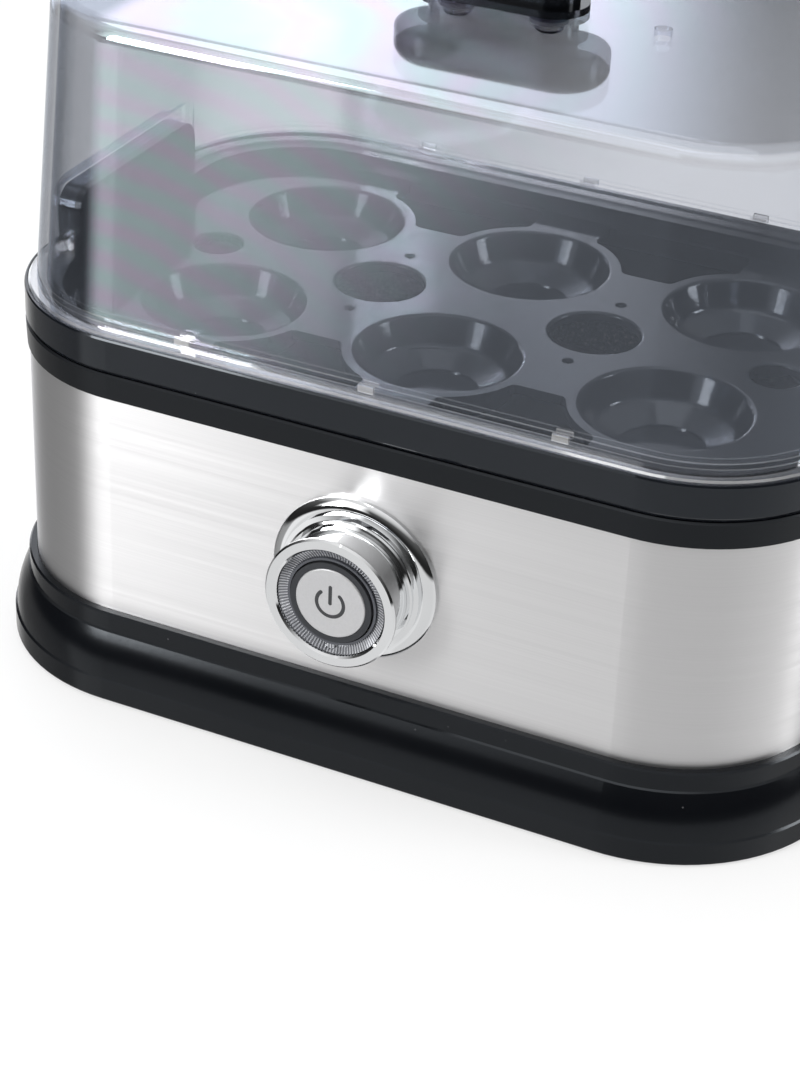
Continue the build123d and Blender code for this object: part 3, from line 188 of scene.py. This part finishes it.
# Room: white to the camera, and a studio to the cooker's gloss and metal. Below the table's level
# pale and dark stretches go round it. Above that level it is dark, and pale overhead, with a
# bright wall behind on the left and a softer patch at the front left.
ROOM_LEVEL = 2.0

# A place round the room is a share of a turn: 0.25 is the right, 0.5 the front, 0.75 the left. A
# height goes from -1, straight down, to 1, straight up. A tone is a place or height, and a grey.
LOW_TONES = [(0.0, 0.12), (0.12, 0.14), (0.23, 0.46), (0.31, 0.39), (0.36, 0.36), (0.53, 0.365),
             (0.545, 0.42), (0.58, 0.375), (0.60, 0.47), (0.638, 0.47), (0.655, 0.18), (0.80, 0.14),
             (0.86, 0.40), (0.93, 0.45), (0.96, 0.14), (1.0, 0.12)]
HIGH_TONES = [(0.0, 0.01), (0.12, 0.015), (0.40, 0.05), (0.60, 0.30), (0.8, 0.45)]
TABLE_LEVEL = (-0.12, -0.24)
WALL_TONE = (1.02, 1.04, 1.10, 1)
WALL_LEFT = (0.80, 0.84)
WALL_RIGHT = (0.956, 0.943)
WALL_TOP = (0.75, 0.60)
PATCH_TONE = (0.8, 0.8, 0.8, 1)
PATCH_RIGHT = (0.53, 0.56)
PATCH_LEFT = (0.65, 0.62)
PATCH_BOTTOM = (0.12, 0.22)
PATCH_TOP = (0.72, 0.60)

world = bpy.data.worlds.new("room")
bpy.context.scene.world = world
world.use_nodes = True
world.node_tree.nodes.clear()
start = Socket(world.node_tree)
way_x, way_y, height = start.node("TexCoord", out="Generated").parts()
turned = (way_x * -1.0).math("ARCTAN2", way_y * -1.0) * (0.5 / pi) + 0.5
low = start.node("ValToRGB", {"stops": LOW_TONES}, {0: turned})
high = start.node("ValToRGB", {"stops": HIGH_TONES}, {0: height})
wall = turned.ease(*WALL_LEFT) * turned.ease(*WALL_RIGHT) * height.ease(*WALL_TOP)
patch = turned.ease(*PATCH_RIGHT) * turned.ease(*PATCH_LEFT)
patch = patch * height.ease(*PATCH_BOTTOM) * height.ease(*PATCH_TOP)
high = patch.colours(wall.colours(high, WALL_TONE), PATCH_TONE)
tone = height.ease(*TABLE_LEVEL).colours(high, low)
studio = start.node("Background", None, {"Color": tone, "Strength": ROOM_LEVEL})
backdrop = start.node("Background", None, {"Color": WHITE})
cover(start.node("MixShader", None, {0: start.ray("Is Camera Ray"), 1: studio, 2: backdrop}), "World")

# Lamps: a broad one overhead, and an upright panel at the front left and at the right. They light
# the cooker and show in its gloss, and the camera doesn't see them. Each line is a name, a place,
# the point that it faces, a width, a height and its watts.
LAMPS = [
    ("lamp_over", (-0.15, -0.10, 1.15), (0, 0, 0.05), 1.10, 0.90, 5.0),
    ("panel_left", (-0.50, -0.75, 0.38), (0, 0, 0.06), 0.24, 0.42, 3.6),
    ("panel_right", (0.87, 0.22, 0.36), (0, 0, 0.06), 0.25, 0.46, 4.0),
]

for name, spot, aim, width, tallness, watts in LAMPS:
    lamp = bpy.data.objects.new(name, bpy.data.lights.new(name, "AREA"))
    lamp.data.shape = "RECTANGLE"
    lamp.data.size, lamp.data.size_y, lamp.data.energy = width, tallness, watts
    lamp.location = spot
    lamp.rotation_euler = (Vector(spot) - Vector(aim)).to_track_quat("Z", "Y").to_euler()
    lamp.visible_camera = False
    bpy.context.scene.collection.objects.link(lamp)

# Base casing: the black foot of the cooker, a polished moulding that flares down to the table.
# Its gloss drifts a little, and a few specks of dust lie on it.
BLACK = (0.0025, 0.003, 0.004, 1)
BLACK_WORN = (0.0045, 0.005, 0.0065, 1)
COOL_SHINE = (0.86, 0.93, 1.0, 1)
GRAIN_DEPTH = 0.00002
DUST = (0.08, 0.08, 0.085, 1)
DUST_SIZE = 0.035
DUST_FROM = 0.52
DUST_ROUGH = 0.3


def moulded(name, colour, worn, smooth, rough, ripple=0.3, shine=0.28):
    """Moulded plastic. A soft noise takes it from colour to worn and from smooth to rough, a fine
    noise ripples it, and specks of dust lie where the soft noise is above DUST_FROM."""
    material, start, place = finish(name)
    drift = start.node("TexNoise", None, {"Vector": place, "Scale": 30.0, "Detail": 3.0})
    grain = start.node("TexNoise", None, {"Vector": place, "Scale": 900.0, "Detail": 2.0})
    specks = start.node("TexVoronoi", None, {"Vector": place, "Scale": 210.0})
    dust = specks.math("LESS_THAN", DUST_SIZE) * drift.math("GREATER_THAN", DUST_FROM)
    cover(start.node("BsdfPrincipled", None, {
        "Base Color": dust.colours(drift.colours(colour, worn), DUST),
        "Roughness": drift.between(smooth, rough) + dust * DUST_ROUGH,
        "Specular IOR Level": shine,
        "Specular Tint": COOL_SHINE,
        "Normal": start.node("Bump", None, {"Strength": ripple, "Distance": GRAIN_DEPTH, "Height": grain}),
    }))
    return material


def dress(material, *nodes):
    """These CAD nodes keep their shape and take this material."""
    for node in nodes:
        for material_slot in frame["nodes"][node].material_slots:
            material_slot.material = material


dress(moulded("casing_black", BLACK, BLACK_WORN, 0.12, 0.24), "base_casing")

# Bottom plate: black moulding with a fine grain. It closes the casing from below, and it is held
# by four screws.
PLATE_BLACK = (0.02, 0.02, 0.021, 1)
PLATE_WORN = (0.03, 0.03, 0.032, 1)

dress(moulded("plate_black", PLATE_BLACK, PLATE_WORN, 0.42, 0.6, ripple=1.0), "bottom_plate")

# Screws, nuts and the switch's bracket: zinc-plated steel, slightly blotched. They hold the bottom
# plate, the dish, the thermostat, the button housing and the switch.
ZINC = (0.62, 0.63, 0.65, 1)
ZINC_DULL = (0.5, 0.5, 0.5, 1)


def plated(name, colour, dull, smooth, rough):
    """Plated or bare metal. A noise takes it from colour to dull and from smooth to rough in soft
    blotches, and dents it lightly."""
    material, start, place = finish(name)
    blotch = start.node("TexNoise", None, {"Vector": place, "Scale": 220.0, "Detail": 4.0})
    cover(start.node("BsdfPrincipled", None, {
        "Base Color": blotch.colours(colour, dull),
        "Metallic": 1.0,
        "Roughness": blotch.between(smooth, rough),
        "Normal": start.node("Bump", None, {"Strength": 0.2, "Distance": GRAIN_DEPTH, "Height": blotch}),
    }))
    return material


dress(plated("zinc", ZINC, ZINC_DULL, 0.22, 0.42), "bottom_screws", "dish_nuts", "thermostat_screws",
      "housing_nut", "bracket_screws", "switch_bracket")

# Rubber feet: four pads of soft black rubber in the bottom plate, dull and finely pitted. The
# cooker stands on them.
RUBBER = (0.012, 0.012, 0.012, 1)
RUBBER_PALE = (0.03, 0.03, 0.03, 1)
RUBBER_ROUGH = (0.6, 0.8)
PIT_DEPTH = 0.00005


def soft(name, colour, pale):
    """Rubber. A fine noise takes it from colour to pale and over RUBBER_ROUGH, and pits it."""
    material, start, place = finish(name)
    pits = start.node("TexNoise", None, {"Vector": place, "Scale": 1400.0, "Detail": 3.0})
    cover(start.node("BsdfPrincipled", None, {
        "Base Color": pits.colours(colour, pale),
        "Roughness": pits.between(*RUBBER_ROUGH),
        "Normal": start.node("Bump", None, {"Strength": 0.5, "Distance": PIT_DEPTH, "Height": pits}),
    }))
    return material


dress(soft("foot_rubber", RUBBER, RUBBER_PALE), "rubber_feet")

# Steel band: stainless sheet round the body, brushed lengthwise, so that its fine lines run level
# all the way round and a reflection on it is drawn out upwards and downwards.
STEEL = (0.85, 0.845, 0.85, 1)
STEEL_DARK = (0.73, 0.725, 0.73, 1)
STEEL_ROUGH = (0.26, 0.42)
LINE_SCALE = (7.0, 7.0, 3800.0)
BROAD_SCALE = (4.0, 4.0, 620.0)
LINE_SHARE = 0.6

brushed, start, place = finish("brushed_steel")
fine = start.node("VectorMath", {"operation": "MULTIPLY"}, {0: place, 1: LINE_SCALE})
broad = start.node("VectorMath", {"operation": "MULTIPLY"}, {0: place, 1: BROAD_SCALE})
lines = start.node("TexNoise", None, {"Vector": fine, "Scale": 1.0, "Detail": 2.0})
bands = start.node("TexNoise", None, {"Vector": broad, "Scale": 1.0, "Detail": 3.0})
streaks = lines * LINE_SHARE + bands * (1 - LINE_SHARE)
cover(start.node("BsdfPrincipled", None, {
    "Base Color": streaks.colours(STEEL_DARK, STEEL),
    "Metallic": 1.0,
    "Roughness": streaks.between(*STEEL_ROUGH),
    "Anisotropic": 0.9,
    "Anisotropic Rotation": 0.25,
    "Normal": start.node("Bump", None, {"Strength": 0.3, "Distance": GRAIN_DEPTH, "Height": lines}),
}))
dress(brushed, "steel_band")

# Top collar: satin black moulding over the edge of the steel. It carries the heating dish and the
# egg tray.
dress(moulded("collar_black", BLACK, BLACK_WORN, 0.26, 0.36), "top_collar")

# Heating dish: pressed aluminium with a dark, finely speckled non-stick face. It lies in the
# collar on a seal of grey silicone, which the washers under the lid's roof are made of too.
DISH_COAT = (0.03, 0.03, 0.031, 1)
DISH_SPECK = (0.1, 0.1, 0.1, 1)
DISH_METAL = 0.5
DISH_ROUGH = (0.3, 0.45)
SPECK_STOPS = [(0.55, 0.0), (0.7, 1.0)]
SPECK_HEIGHT = 0.00003
SILICONE = (0.5, 0.5, 0.51, 1)
SILICONE_PALE = (0.58, 0.58, 0.59, 1)

dish_coat, start, place = finish("dish_coat")
cloud = start.node("TexNoise", None, {"Vector": place, "Scale": 1800.0, "Detail": 1.0})
speck = start.node("ValToRGB", {"stops": SPECK_STOPS}, {0: cloud})
cover(start.node("BsdfPrincipled", None, {
    "Base Color": speck.colours(DISH_COAT, DISH_SPECK),
    "Metallic": DISH_METAL,
    "Roughness": speck.between(*DISH_ROUGH),
    "Normal": start.node("Bump", None, {"Strength": 0.3, "Distance": SPECK_HEIGHT, "Height": speck}),
}))
dress(dish_coat, "heating_dish")
dress(soft("silicone_grey", SILICONE, SILICONE_PALE), "dish_gasket", "handle_washers")

# Inner parts, hidden in the body: element tube, thermostat can, fuse sleeve, terminal block, wires,
# lamp board and lamps, and the black mouldings of the switch, the stem and the cord gland.
dress(plated("element_tube", (0.6, 0.6, 0.6, 1), (0.42, 0.4, 0.38, 1), 0.35, 0.5), "heating_element")
dress(plated("thermostat_can", (0.62, 0.62, 0.6, 1), (0.5, 0.49, 0.46, 1), 0.2, 0.35), "thermostat")
dress(plated("brass", (0.78, 0.6, 0.27, 1), (0.6, 0.45, 0.2, 1), 0.2, 0.4), "block_screws")
dress(moulded("fuse_white", (0.75, 0.74, 0.7, 1), (0.6, 0.59, 0.55, 1), 0.3, 0.5), "thermal_fuse")
dress(moulded("block_ivory", (0.72, 0.7, 0.62, 1), (0.6, 0.58, 0.5, 1), 0.35, 0.5), "terminal_block")
dress(moulded("board_green", (0.02, 0.1, 0.045, 1), (0.03, 0.14, 0.06, 1), 0.25, 0.4), "lamp_board")
dress(moulded("lamp_white", (0.8, 0.78, 0.62, 1), (0.7, 0.68, 0.5, 1), 0.15, 0.25), "lamps")
dress(moulded("switch_black", (0.02, 0.02, 0.02, 1), (0.035, 0.035, 0.035, 1), 0.35, 0.5),
      "push_switch", "button_stem", "cord_gland", "gland_nut")
dress(soft("wire_sleeve", (0.6, 0.57, 0.5, 1), (0.7, 0.68, 0.62, 1)), "lead_wires")

# Egg tray: polished black moulding with six cups, laid loose on the collar. Its gloss mirrors the
# pale wall behind it.
TRAY_BLACK = (0.004, 0.005, 0.007, 1)
TRAY_WORN = (0.008, 0.009, 0.012, 1)

dress(moulded("tray_black", TRAY_BLACK, TRAY_WORN, 0.06, 0.13, ripple=0.12, shine=0.42), "egg_tray")

# Lid: clear moulded shell, stood loose on the tray. Its gloss grows towards grazing angles. A
# painted sheen makes its left part reflect more, with faint bands of pink and green from strain
# in the plastic. Its flange, fine level lines above it and small nubs carry painted highlights.
LID_THROUGH = (0.90, 0.905, 0.92, 1)
LID_EDGE_THROUGH = (0.40, 0.41, 0.43, 1)
LID_GLOSS = (0.78, 0.86, 1.0, 1)
LID_SHINE = 0.055
LID_ROUGH = (0.03, 0.06)
# The lid's left part is given a stronger reflection here, a painted sheen.
PAINTED_SHEEN = 0.24
SHEEN_START = (-0.0655, -0.060)
SHEEN_FALL = (0.055, 0.14)
SHEEN_SLANT = 0.8
PINK = (1.0, 0.72, 0.94, 1)
GREEN = (0.68, 1.0, 0.86, 1)
STRAIN_MIDDLE = (-0.07, -0.06, 0.0)
STRAIN_PITCH = 0.007
STRAIN_DRIFT = 0.006
STRAIN_SHARE = 0.5
# The flange, the fine level lines above it and the nubs are painted highlights.
FLANGE_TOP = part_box("lid_shell")[0].z + 0.0012
FLANGE_FADE = 0.0003
FLANGE_SHINE = 0.20
FLANGE_LINE_PITCH = 0.0012
FLANGE_LINE_EDGE = (0.75, 1.0)
FLANGE_LINE_FADE = (0.0040, 0.0025)
FLANGE_LINE_SHINE = 0.6
NUB_PITCH = 0.0409
NUB_HALF = 0.0018
NUB_RISE = 0.00165
NUB_HALF_HIGH = 0.0008
NUB_SHINE = 1.6

clear, start, place = finish("clear_plastic")
along, _, tall = place.parts()
rise = tall - FLANGE_TOP
flange = rise.ease(FLANGE_FADE, 0.0)
fine = rise.wave(FLANGE_LINE_PITCH).ease(*FLANGE_LINE_EDGE) * rise.ease(*FLANGE_LINE_FADE)
nub = along.math("WRAP", NUB_PITCH / 2, -NUB_PITCH / 2).math("ABSOLUTE").math("LESS_THAN", NUB_HALF)
nub = nub * along.math("ABSOLUTE").math("LESS_THAN", NUB_PITCH + 2 * NUB_HALF)
nub = nub * (rise - NUB_RISE).math("ABSOLUTE").math("LESS_THAN", NUB_HALF_HIGH)
# Painted highlights: on the flange, the fine lines and the nubs the gloss is raised and whitened.
bright = flange.math("MAXIMUM", fine * FLANGE_LINE_SHINE).math("MAXIMUM", nub * NUB_SHINE)

# Painted sheen: the lid's left part reflects more, and only there do the strain bands tint it.
painted_sheen = (tall * SHEEN_SLANT - along).ease(*SHEEN_FALL) * along.ease(*SHEEN_START) * (1 - flange)
drift = start.node("TexNoise", None, {"Vector": place, "Scale": 40.0, "Detail": 2.0})
reach = start.node("VectorMath", {"operation": "DISTANCE"}, {0: place, 1: STRAIN_MIDDLE}, out="Value")
strain = (reach + drift * STRAIN_DRIFT).wave(STRAIN_PITCH)
tint = (painted_sheen * STRAIN_SHARE).colours(LID_GLOSS, strain.colours(PINK, GREEN))

facing = start.node("LayerWeight", None, {"Blend": 0.5}, out="Facing")
gloss = facing.math("POWER", 5.0).between(LID_SHINE, 1.0) + painted_sheen * PAINTED_SHEEN + bright * FLANGE_SHINE
square_on = start.node("BsdfTransparent", None, {"Color": LID_THROUGH})
edge_on = start.node("BsdfTransparent", None, {"Color": LID_EDGE_THROUGH})
thin_wall = start.node("MixShader", None, {0: facing * facing, 1: square_on, 2: edge_on})
mirror = start.node("BsdfPrincipled", None, {
    "Base Color": bright.colours(tint, WHITE),
    "Metallic": 1.0,
    "Roughness": drift.between(*LID_ROUGH),
})
cover(start.node("MixShader", None, {0: gloss, 1: thin_wall, 2: mirror}))
dress(clear, "lid_shell")

# Grip: polished black moulding on the lid's roof. Two steel screws hold it from inside the lid.
GRIP_STEEL = (0.7, 0.7, 0.7, 1)
GRIP_STEEL_DULL = (0.6, 0.6, 0.6, 1)

dress(moulded("grip_black", BLACK, BLACK_WORN, 0.12, 0.22), "lid_handle")
dress(plated("handle_steel", GRIP_STEEL, GRIP_STEEL_DULL, 0.15, 0.3), "handle_screws")

# Button housing and bezel: bright chromed metal, with the faintest wave in its polish. The bezel
# lies against the steel, and a nut inside holds the housing, which stands out through it.
CHROME = (0.86, 0.87, 0.88, 1)
CHROME_DEEP = (0.82, 0.83, 0.84, 1)
CHROME_ROUGH = (0.03, 0.06)
CHROME_WAVE = 0.0001

chrome, start, place = finish("bright_chrome")
swell = start.node("TexNoise", None, {"Vector": place, "Scale": 160.0, "Detail": 1.0})
cover(start.node("BsdfPrincipled", None, {
    "Base Color": swell.colours(CHROME, CHROME_DEEP),
    "Metallic": 1.0,
    "Roughness": swell.between(*CHROME_ROUGH),
    "Normal": start.node("Bump", None, {"Strength": 0.06, "Distance": CHROME_WAVE, "Height": swell}),
}))
dress(chrome, "button_housing", "button_bezel")

# Light ring: clear moulding round the cap, sloping inwards. V-shaped ribs that point at the
# centre are cut in its slope and spread the light, and at the bottom its inner lip is wider. Dark
# and pale lines that follow the ribs are painted shade and painted highlight, and the lip is dark.
BUTTON_Z = 0.0455
FACE_OUT = 0.0121
FRONT_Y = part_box("button_housing")[0].y + FACE_OUT
RING_BACK, RING_LOW, RING_TOP, RING_LIP_TOP = 0.0056, 0.0103, 0.0115, 0.0109
RING_BORE, RING_LIP, RING_OUTER = 0.0093, 0.0098, 0.01175
RING_METAL = 0.35
RING_ROUGH = (0.05, 0.20)
RIB_COUNT = 108
RIB_STEPS = 12
RIB_DEPTH = 0.00035
# The ribs' painted shade and painted highlight: dark and pale lines that alternate with the ribs.
RIB_EDGE = (-0.6, 0.8)
RIB_SHADE = (0.16, 0.165, 0.18, 1)
RIB_LIGHT = (0.62, 0.63, 0.66, 1)
SLOPE_STEPS = 4
TAB_REACH = 0.0011
TAB_WIDTH = 0.1
LIP_DARK = (0.10, 0.105, 0.12, 1)
LIP_FADE = 0.0003


def grid_piece(name, points, closed=True):
    """A surface of quads over a grid of points. Every row of the grid joins up with itself. So
    does every column where closed, and otherwise a face fills the first row and the last."""
    rows, columns = points.shape[:2]
    i, j = np.meshgrid(np.arange(rows if closed else rows - 1), np.arange(columns), indexing="ij")
    on_i, on_j = (i + 1) % rows, (j + 1) % columns
    here, beside = i * columns + j, i * columns + on_j
    after, after_beside = on_i * columns + j, on_i * columns + on_j
    faces = np.stack([here, beside, after_beside, after], axis=-1).reshape(-1, 4).tolist()
    if not closed:
        first_row = np.arange(columns)
        faces += [first_row[::-1].tolist(), (first_row + (rows - 1) * columns).tolist()]
    mesh = bpy.data.meshes.new(name)
    mesh.from_pydata(points.reshape(-1, 3).tolist(), [], faces)
    piece = bpy.data.objects.new(name, mesh)
    bpy.context.scene.collection.objects.link(piece)
    return piece


def turned_surface(name, radius, out):
    """A closed ring about the button's axis. Row i is the angle t from the top, and column j the
    place on the section: x = radius sin t, z = BUTTON_Z + radius cos t, y = FRONT_Y - out."""
    angle = np.linspace(0, 2 * pi, len(radius), endpoint=False)[:, None]
    points = np.stack([radius * np.sin(angle), FRONT_Y - out, BUTTON_Z + radius * np.cos(angle)], axis=-1)
    return grid_piece(name, points)


# Each rib is a triangle wave round the ring, and the lip's tab a smooth bump about the bottom
step = np.arange(RIB_COUNT * RIB_STEPS)[:, None]
rib = np.abs(2 * (step % RIB_STEPS) / RIB_STEPS - 1)
from_bottom = np.abs(2 * pi * step / (RIB_COUNT * RIB_STEPS) - pi)
lip = RING_LIP + TAB_REACH * np.exp(-(from_bottom / TAB_WIDTH) ** 4)
down = np.linspace(0, 1, SLOPE_STEPS)[None, :]
even = np.ones_like(lip)
slope_r = RING_OUTER + (lip - RING_OUTER) * down
slope_out = RING_TOP + (RING_LOW - RING_TOP) * down - RIB_DEPTH * rib * (1 - down ** 4)
ribbed_ring = turned_surface(
    "ribbed_ring",
    np.hstack([even * RING_BORE, even * RING_OUTER, slope_r, lip, even * RING_BORE]),
    np.hstack([even * RING_BACK, even * RING_BACK, slope_out, even * RING_LIP_TOP, even * RING_LIP_TOP]),
)

ribbed, start, place = finish("ribbed_clear")
across, _, tall = place.parts()
rise = tall - BUTTON_Z
radius = (across * across + rise * rise).math("SQRT")
inner = radius.ease(RING_LIP + LIP_FADE, RING_LIP)
# Painted shade and highlight on the ribs, from the angle round the ring.
rib_shading = (across.math("ARCTAN2", rise) * RIB_COUNT).math("COSINE").ease(*RIB_EDGE)
cloud = start.node("TexNoise", None, {"Vector": place, "Scale": 500.0, "Detail": 2.0})
cover(start.node("BsdfPrincipled", None, {
    "Base Color": inner.colours(rib_shading.colours(RIB_SHADE, RIB_LIGHT), LIP_DARK),
    "Metallic": RING_METAL,
    "Roughness": cloud.between(*RING_ROUGH),
}))
ribbed_ring.data.materials.append(ribbed)
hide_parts("light_ring")
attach(ribbed_ring, "cooker_base")

# Return spring: steel wire, wound in open turns, between the web of the housing and the head of
# the stem. On the real cooker its turns close up as the button goes in, but this piece keeps them open.
SPRING_WIRE = 0.00035
SPRING_TURNS = 4.5
SPRING_STEPS = 216
WIRE_SIDES = 12
SPRING_LOW, SPRING_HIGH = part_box("return_spring")
SPRING_STEEL = (0.6, 0.6, 0.61, 1)
SPRING_DULL = (0.45, 0.45, 0.46, 1)
PRESS_TRAVEL = next(joint["range_m"][1] for joint in frame["record"]["behaviour"]["joints"]
                    if joint["name"] == "button_press")


def coil(name, wire, radius, turns, back, front):
    """A wire wound about the button's axis. Row i is the angle t along it and column j the angle
    s round the wire. Its middle line is (radius cos t, y, BUTTON_Z + radius sin t), where y runs
    evenly from back to front, and a point is that plus wire (cos s outwards + sin s across)."""
    t = np.linspace(0, 2 * pi * turns, SPRING_STEPS + 1)[:, None, None]
    s = np.linspace(0, 2 * pi, WIRE_SIDES, endpoint=False)[None, :, None]
    slope = (back - front) / (2 * pi * turns)
    outwards = np.concatenate([np.cos(t), 0 * t, np.sin(t)], axis=2)
    across = np.concatenate([-slope * np.sin(t), radius + 0 * t, slope * np.cos(t)], axis=2)
    across /= np.hypot(radius, slope)
    middle = radius * outwards + np.concatenate([0 * t, back - slope * t, BUTTON_Z + 0 * t], axis=2)
    return grid_piece(name, middle + wire * (np.cos(s) * outwards + np.sin(s) * across), closed=False)


spring_radius = (SPRING_HIGH.x - SPRING_LOW.x) / 2 - SPRING_WIRE
coil_spring = coil("coil_spring", SPRING_WIRE, spring_radius, SPRING_TURNS,
                   SPRING_HIGH.y - SPRING_WIRE, SPRING_LOW.y + SPRING_WIRE)
coil_spring.data.materials.append(plated("spring_wire", SPRING_STEEL, SPRING_DULL, 0.15, 0.3))
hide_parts("return_spring")
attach(coil_spring, "cooker_base")
1 - PRESS_TRAVEL / (SPRING_HIGH.y - SPRING_LOW.y)
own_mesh(coil_spring)

# Button cap: satin silver disc inside a charcoal ring. Its dark power symbol is a ring that is
# open at the top, with a bar in the opening, both with rounded ends.
SILVER = (0.56, 0.56, 0.57, 1)
SILVER_PALE = (0.64, 0.64, 0.65, 1)
SILVER_METAL = 0.55
SILVER_ROUGH = (0.36, 0.46)
SYMBOL_DARK = (0.035, 0.036, 0.04, 1)
SYMBOL_R = 0.00298
SYMBOL_HALF = 0.0004
SYMBOL_OPEN = radians(44)
BAR_LOW, BAR_HIGH = 0.0, 0.00375
FLATTEN = (1, 0, 1)
CHARCOAL = (0.03, 0.031, 0.034, 1)
CHARCOAL_WORN = (0.04, 0.041, 0.045, 1)

silver, start, place = finish("satin_silver")
flat = start.node("VectorMath", {"operation": "MULTIPLY"}, {0: place, 1: FLATTEN})
across, _, tall = flat.parts()
rise = tall - BUTTON_Z
cap_middle = (0.0, 0.0, BUTTON_Z)
radius = start.node("VectorMath", {"operation": "DISTANCE"}, {0: flat, 1: cap_middle}, out="Value")
ring = (radius - SYMBOL_R).math("ABSOLUTE").math("LESS_THAN", SYMBOL_HALF)
ring = ring * across.math("ABSOLUTE").math("ARCTAN2", rise).math("GREATER_THAN", SYMBOL_OPEN)
for side in (-1, 1):
    end = (side * SYMBOL_R * sin(SYMBOL_OPEN), 0.0, BUTTON_Z + SYMBOL_R * cos(SYMBOL_OPEN))
    to_end = start.node("VectorMath", {"operation": "DISTANCE"}, {0: flat, 1: end}, out="Value")
    ring = ring.math("MAXIMUM", to_end.math("LESS_THAN", SYMBOL_HALF))
past = (rise - (BAR_LOW + BAR_HIGH) / 2).math("ABSOLUTE") - (BAR_HIGH - BAR_LOW) / 2
past = past.math("MAXIMUM", 0.0)
bar = (across * across + past * past).math("SQRT").math("LESS_THAN", SYMBOL_HALF)
symbol = ring.math("MAXIMUM", bar)
satin = start.node("TexNoise", None, {"Vector": place, "Scale": 2500.0, "Detail": 2.0})
cover(start.node("BsdfPrincipled", None, {
    "Base Color": symbol.colours(satin.colours(SILVER, SILVER_PALE), SYMBOL_DARK),
    "Metallic": (1 - symbol) * SILVER_METAL,
    "Roughness": satin.between(*SILVER_ROUGH),
    "Normal": start.node("Bump", None, {"Strength": 0.15, "Distance": GRAIN_DEPTH, "Height": satin}),
}))
dress(silver, "button_cap")
dress(moulded("charcoal", CHARCOAL, CHARCOAL_WORN, 0.3, 0.4), "cap_ring")
